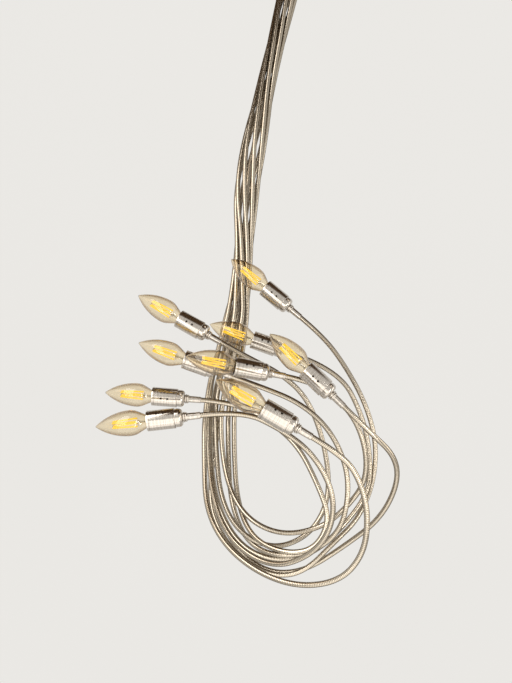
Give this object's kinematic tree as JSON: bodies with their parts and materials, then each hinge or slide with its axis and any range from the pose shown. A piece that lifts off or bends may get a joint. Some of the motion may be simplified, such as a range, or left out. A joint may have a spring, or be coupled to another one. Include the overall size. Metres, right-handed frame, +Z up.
{
  "type": "pendant light",
  "caption": "Ceiling pendant whose flexible metal arms hang as a loose twisted bundle, turn up through an open loop and end in turned lampholders with clear candle bulbs.",
  "frame": {"origin": "on the ceiling plane, at the middle of the strap's two ceiling slots and of the canopy's rim", "axes": "+Z up into the ceiling, +X to the viewer's right along the strap, +Y away from the viewer; the lampholders point to -X and hang on the -Y side"},
  "size_m": [0.4272, 0.3137, 1.0991],
  "materials": {
    "satin_nickel": "satin nickel plating, warm tone",
    "hose_nickel": "satin nickel plated flexible steel hose",
    "turned_nickel": "satin nickel plating over fine turning lines",
    "zinc_steel": "bright zinc plated steel",
    "terminal_plastic": "moulded polyamide",
    "insert_plastic": "moulded phenolic with brass screw shell",
    "cap_metal": "nickel plated bulb cap",
    "bulb_glass": "clear blown glass",
    "filament": "yellow phosphor coated light sticks on glass stem"
  },
  "bodies": {
    "fitting": {"canopy": "satin_nickel", "ceiling_strap": "zinc_steel", "terminal_block": "terminal_plastic", "fitting_screws": "zinc_steel", "arm_hub": "satin_nickel", "arm_necks": "hose_nickel", "arm_1_tube": "hose_nickel", "arm_2_tube": "hose_nickel", "arm_3_tube": "hose_nickel", "arm_4_tube": "hose_nickel", "arm_5_tube": "hose_nickel", "arm_6_tube": "hose_nickel", "arm_7_tube": "hose_nickel", "arm_8_tube": "hose_nickel", "arm_9_tube": "hose_nickel"},
    "head_1": {"holder_1_shell": "turned_nickel", "holder_1_insert": "insert_plastic"},
    "bulb_1": {"bulb_1_cap": "cap_metal", "bulb_1_glass": "bulb_glass", "bulb_1_filaments": "filament"},
    "head_2": {"holder_2_shell": "turned_nickel", "holder_2_insert": "insert_plastic"},
    "bulb_2": {"bulb_2_cap": "cap_metal", "bulb_2_glass": "bulb_glass", "bulb_2_filaments": "filament"},
    "head_3": {"holder_3_shell": "turned_nickel", "holder_3_insert": "insert_plastic"},
    "bulb_3": {"bulb_3_cap": "cap_metal", "bulb_3_glass": "bulb_glass", "bulb_3_filaments": "filament"},
    "head_4": {"holder_4_shell": "turned_nickel", "holder_4_insert": "insert_plastic"},
    "bulb_4": {"bulb_4_cap": "cap_metal", "bulb_4_glass": "bulb_glass", "bulb_4_filaments": "filament"},
    "head_5": {"holder_5_shell": "turned_nickel", "holder_5_insert": "insert_plastic"},
    "bulb_5": {"bulb_5_cap": "cap_metal", "bulb_5_glass": "bulb_glass", "bulb_5_filaments": "filament"},
    "head_6": {"holder_6_shell": "turned_nickel", "holder_6_insert": "insert_plastic"},
    "bulb_6": {"bulb_6_cap": "cap_metal", "bulb_6_glass": "bulb_glass", "bulb_6_filaments": "filament"},
    "head_7": {"holder_7_shell": "turned_nickel", "holder_7_insert": "insert_plastic"},
    "bulb_7": {"bulb_7_cap": "cap_metal", "bulb_7_glass": "bulb_glass", "bulb_7_filaments": "filament"},
    "head_8": {"holder_8_shell": "turned_nickel", "holder_8_insert": "insert_plastic"},
    "bulb_8": {"bulb_8_cap": "cap_metal", "bulb_8_glass": "bulb_glass", "bulb_8_filaments": "filament"},
    "head_9": {"holder_9_shell": "turned_nickel", "holder_9_insert": "insert_plastic"},
    "bulb_9": {"bulb_9_cap": "cap_metal", "bulb_9_glass": "bulb_glass", "bulb_9_filaments": "filament"}
  },
  "joints": [
    {"name": "head_1_bend", "type": "hinge", "parent": "fitting", "child": "head_1", "pos_m": [0.01533, -0.04277, -0.71218], "axis": [0.0159, -0.9998, -0.0137], "range_deg": [-20, 20], "deforming": ["arm_necks"]},
    {"name": "head_2_bend", "type": "hinge", "parent": "fitting", "child": "head_2", "pos_m": [-0.10445, -0.09177, -0.76046], "axis": [0.0179, -0.9998, -0.0103], "range_deg": [-20, 15], "deforming": ["arm_necks"]},
    {"name": "head_3_bend", "type": "hinge", "parent": "fitting", "child": "head_3", "pos_m": [-0.08765, -0.10535, -0.81167], "axis": [0.0554, -0.9983, -0.0196], "range_deg": [-10, 20], "deforming": ["arm_necks"]},
    {"name": "head_4_bend", "type": "hinge", "parent": "fitting", "child": "head_4", "pos_m": [0.01135, -0.04568, -0.76972], "axis": [0.0277, -0.9996, -0.0099], "range_deg": [-20, 20], "deforming": ["arm_necks"]},
    {"name": "head_5_bend", "type": "hinge", "parent": "fitting", "child": "head_5", "pos_m": [-0.0103, -0.13818, -0.81582], "axis": [0.1631, -0.9862, -0.0278], "range_deg": [-15, 20], "deforming": ["arm_necks"]},
    {"name": "head_6_bend", "type": "hinge", "parent": "fitting", "child": "head_6", "pos_m": [0.06578, -0.15977, -0.86678], "axis": [0.0147, -0.9998, -0.0147], "range_deg": [-20, 3], "deforming": ["arm_necks"]},
    {"name": "head_7_bend", "type": "hinge", "parent": "fitting", "child": "head_7", "pos_m": [0.01846, -0.22708, -0.91254], "axis": [0.0724, -0.9965, -0.0424], "range_deg": [-20, 20], "deforming": ["arm_necks"]},
    {"name": "head_8_bend", "type": "hinge", "parent": "fitting", "child": "head_8", "pos_m": [-0.13303, -0.07, -0.83888], "axis": [0, -1, 0], "range_deg": [-20, 20], "deforming": ["arm_necks"]},
    {"name": "head_9_bend", "type": "hinge", "parent": "fitting", "child": "head_9", "pos_m": [-0.12607, -0.17439, -0.87183], "axis": [-0.0353, -0.9994, -0.0038], "range_deg": [-20, 20], "deforming": ["arm_necks"]},
    {"name": "bulb_1_turn", "type": "hinge", "parent": "head_1", "child": "bulb_1", "pos_m": [-0.04785, -0.04452, -0.65777], "axis": [-0.7576, -0.021, 0.6524], "range_deg": [0, 135]},
    {"name": "bulb_2_turn", "type": "hinge", "parent": "head_2", "child": "bulb_2", "pos_m": [-0.17685, -0.0935, -0.71909], "axis": [-0.8681, -0.0207, 0.496], "range_deg": [0, 135]},
    {"name": "bulb_3_turn", "type": "hinge", "parent": "head_3", "child": "bulb_3", "pos_m": [-0.16613, -0.11026, -0.78387], "axis": [-0.941, -0.0588, 0.3333], "range_deg": [0, 135]},
    {"name": "bulb_4_turn", "type": "hinge", "parent": "head_4", "child": "bulb_4", "pos_m": [-0.0671, -0.04813, -0.74152], "axis": [-0.9407, -0.0294, 0.3381], "range_deg": [0, 135]},
    {"name": "bulb_5_turn", "type": "hinge", "parent": "head_5", "child": "bulb_5", "pos_m": [-0.09139, -0.15198, -0.80202], "axis": [-0.9722, -0.1655, 0.1655], "range_deg": [0, 135]},
    {"name": "bulb_6_turn", "type": "hinge", "parent": "head_6", "child": "bulb_6", "pos_m": [0.00682, -0.16151, -0.80782], "axis": [-0.707, -0.0208, 0.707], "range_deg": [0, 135]},
    {"name": "bulb_7_turn", "type": "hinge", "parent": "head_7", "child": "bulb_7", "pos_m": [-0.05326, -0.23407, -0.87055], "axis": [-0.86, -0.0839, 0.5034], "range_deg": [0, 135]},
    {"name": "bulb_8_turn", "type": "hinge", "parent": "head_8", "child": "bulb_8", "pos_m": [-0.21617, -0.07, -0.83223], "axis": [-0.9968, 0, 0.0797], "range_deg": [0, 135]},
    {"name": "bulb_9_turn", "type": "hinge", "parent": "head_9", "child": "bulb_9", "pos_m": [-0.20894, -0.17143, -0.88071], "axis": [-0.9937, 0.0355, -0.1065], "range_deg": [0, 135]}
  ]
}
